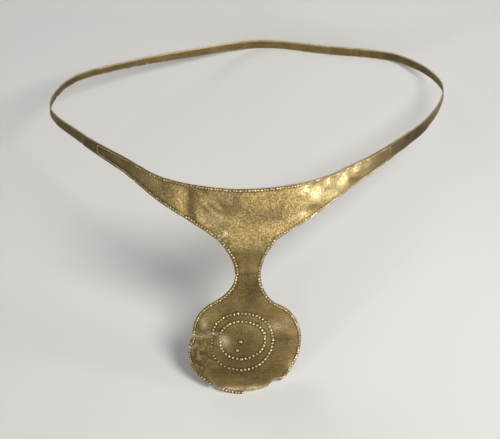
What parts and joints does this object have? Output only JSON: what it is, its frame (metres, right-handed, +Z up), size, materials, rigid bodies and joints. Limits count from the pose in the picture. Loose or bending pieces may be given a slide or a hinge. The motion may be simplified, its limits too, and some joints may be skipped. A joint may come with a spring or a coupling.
{
  "type": "gold diadem",
  "caption": "Loose hoop of hammered sheet gold that widens at the front, narrows to a neck and ends in a hanging disc; beaded edges, torn and chipped rim",
  "frame": {"origin": "middle of the bounding box in plan, on the surface that the loose diadem lies on", "axes": "+Z up from the surface; -Y towards the viewer, where the disc touches down; +X to the viewer's right. The hoop leans back about 30 degrees, from the front down to the back of the band"},
  "size_m": [0.1736, 0.1886, 0.0851],
  "materials": {
    "sheet_gold": "old hammered gold, worn satin with fine scratches and brown soil film"
  },
  "bodies": {
    "root": {"diadem": "sheet_gold"}
  },
  "joints": []
}
